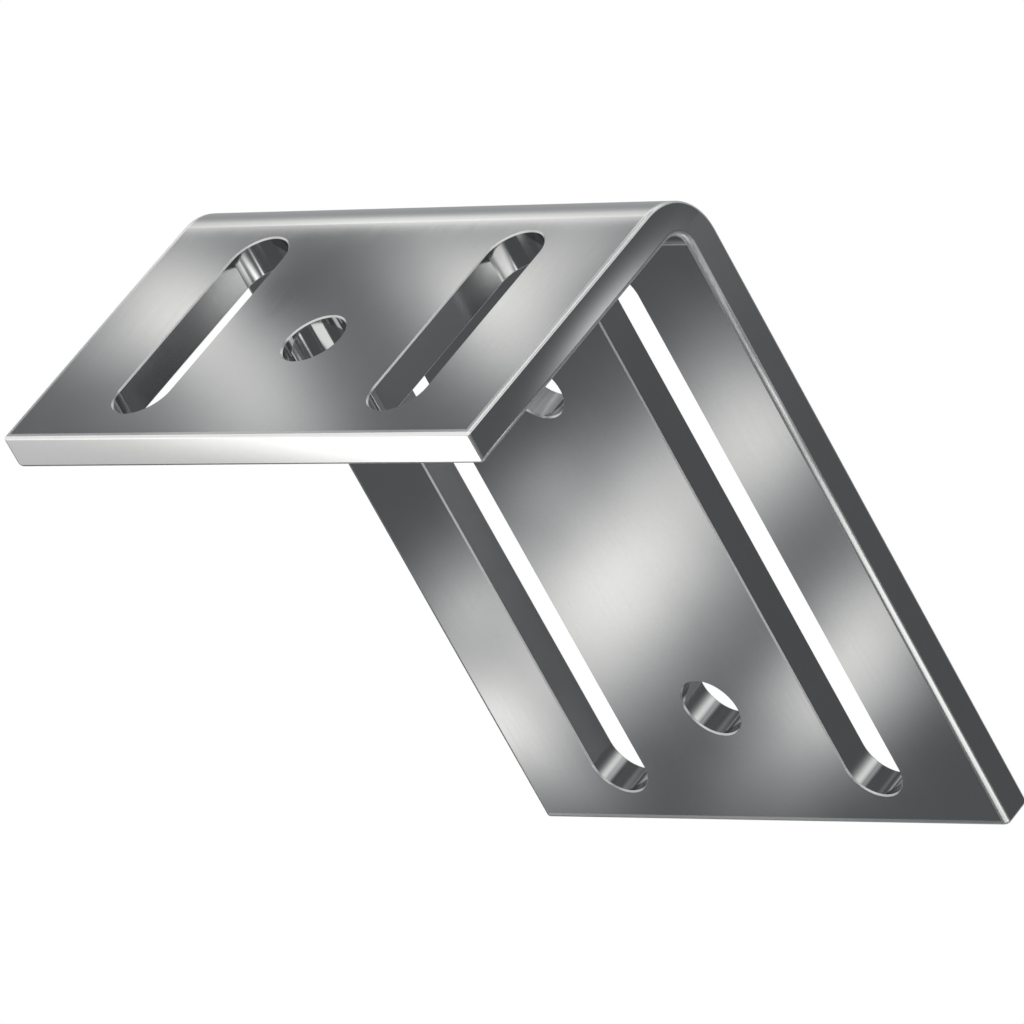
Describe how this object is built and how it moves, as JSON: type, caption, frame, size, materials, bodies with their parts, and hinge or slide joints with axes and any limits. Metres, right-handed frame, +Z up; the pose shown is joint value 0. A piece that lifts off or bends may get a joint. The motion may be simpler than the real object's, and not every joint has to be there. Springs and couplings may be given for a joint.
{
  "type": "adjustable angle bracket",
  "caption": "Square angle bracket folded from one flat bar, slotted along both legs for adjustment, with round holes for fixed bolts.",
  "frame": {"origin": "on the back of the long leg, on its middle line, midway between its two round holes", "axes": "+X along the fold, +Y out of the back of the long leg into the wall, +Z up through the short leg; the short leg is flat on top and the long leg hangs down"},
  "size_m": [0.0794, 0.0508, 0.1016],
  "materials": {
    "plated_steel": "bright nickel plating over ground steel, with fine grain and rounded, brighter edges"
  },
  "bodies": {
    "root": {"angle_bracket": "plated_steel"}
  },
  "joints": []
}
